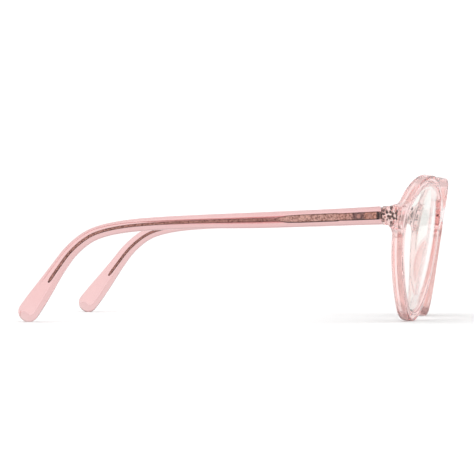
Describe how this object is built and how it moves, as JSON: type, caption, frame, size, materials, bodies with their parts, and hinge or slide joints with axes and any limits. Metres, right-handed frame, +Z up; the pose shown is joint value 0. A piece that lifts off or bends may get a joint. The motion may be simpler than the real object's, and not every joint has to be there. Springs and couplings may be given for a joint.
{
  "type": "spectacles",
  "caption": "Round translucent pink acetate spectacles with clear coated lenses and fold-in wire-cored temples, standing open on rim bottoms and temple tips.",
  "frame": {"origin": "under the middle of the open spectacles' bounding box, on the surface they stand on", "axes": "+Z up, the front faces -Y, the temples run towards +Y, +X is the wearer's left"},
  "size_m": [0.139, 0.1548, 0.055],
  "materials": {
    "pink_acetate": "polished translucent",
    "pad_acetate": "polished translucent",
    "coated_lens": "clear with a faint violet coating",
    "rose_gold_core": "engraved satin",
    "hinge_metal": "satin",
    "screw_steel": "polished",
    "rivet_steel": "satin"
  },
  "bodies": {
    "front": {"front_frame": "pink_acetate", "nose_pad_left": "pad_acetate", "nose_pad_right": "pad_acetate", "lens_left": "coated_lens", "lens_right": "coated_lens", "front_leaf_left": "hinge_metal", "front_leaf_right": "hinge_metal", "hinge_screw_left": "screw_steel", "hinge_screw_right": "screw_steel", "anchor_pin_upper_left": "rivet_steel", "anchor_pin_upper_right": "rivet_steel", "anchor_pin_lower_left": "rivet_steel", "anchor_pin_lower_right": "rivet_steel"},
    "left_arm": {"temple_left": "pink_acetate", "core_wire_left": "rose_gold_core", "temple_leaf_left": "hinge_metal", "rivet_front_left": "rivet_steel", "rivet_rear_left": "rivet_steel"},
    "right_arm": {"temple_right": "pink_acetate", "core_wire_right": "rose_gold_core", "temple_leaf_right": "hinge_metal", "rivet_front_right": "rivet_steel", "rivet_rear_right": "rivet_steel"}
  },
  "joints": [
    {"name": "left_temple_fold", "type": "hinge", "parent": "front", "child": "left_arm", "pos_m": [0.0623, -0.05891, 0.0396], "axis": [0, 0, 1], "range_deg": [0, 91.2]},
    {"name": "right_temple_fold", "type": "hinge", "parent": "front", "child": "right_arm", "pos_m": [-0.0623, -0.05891, 0.0396], "axis": [0, 0, -1], "range_deg": [0, 84]}
  ]
}
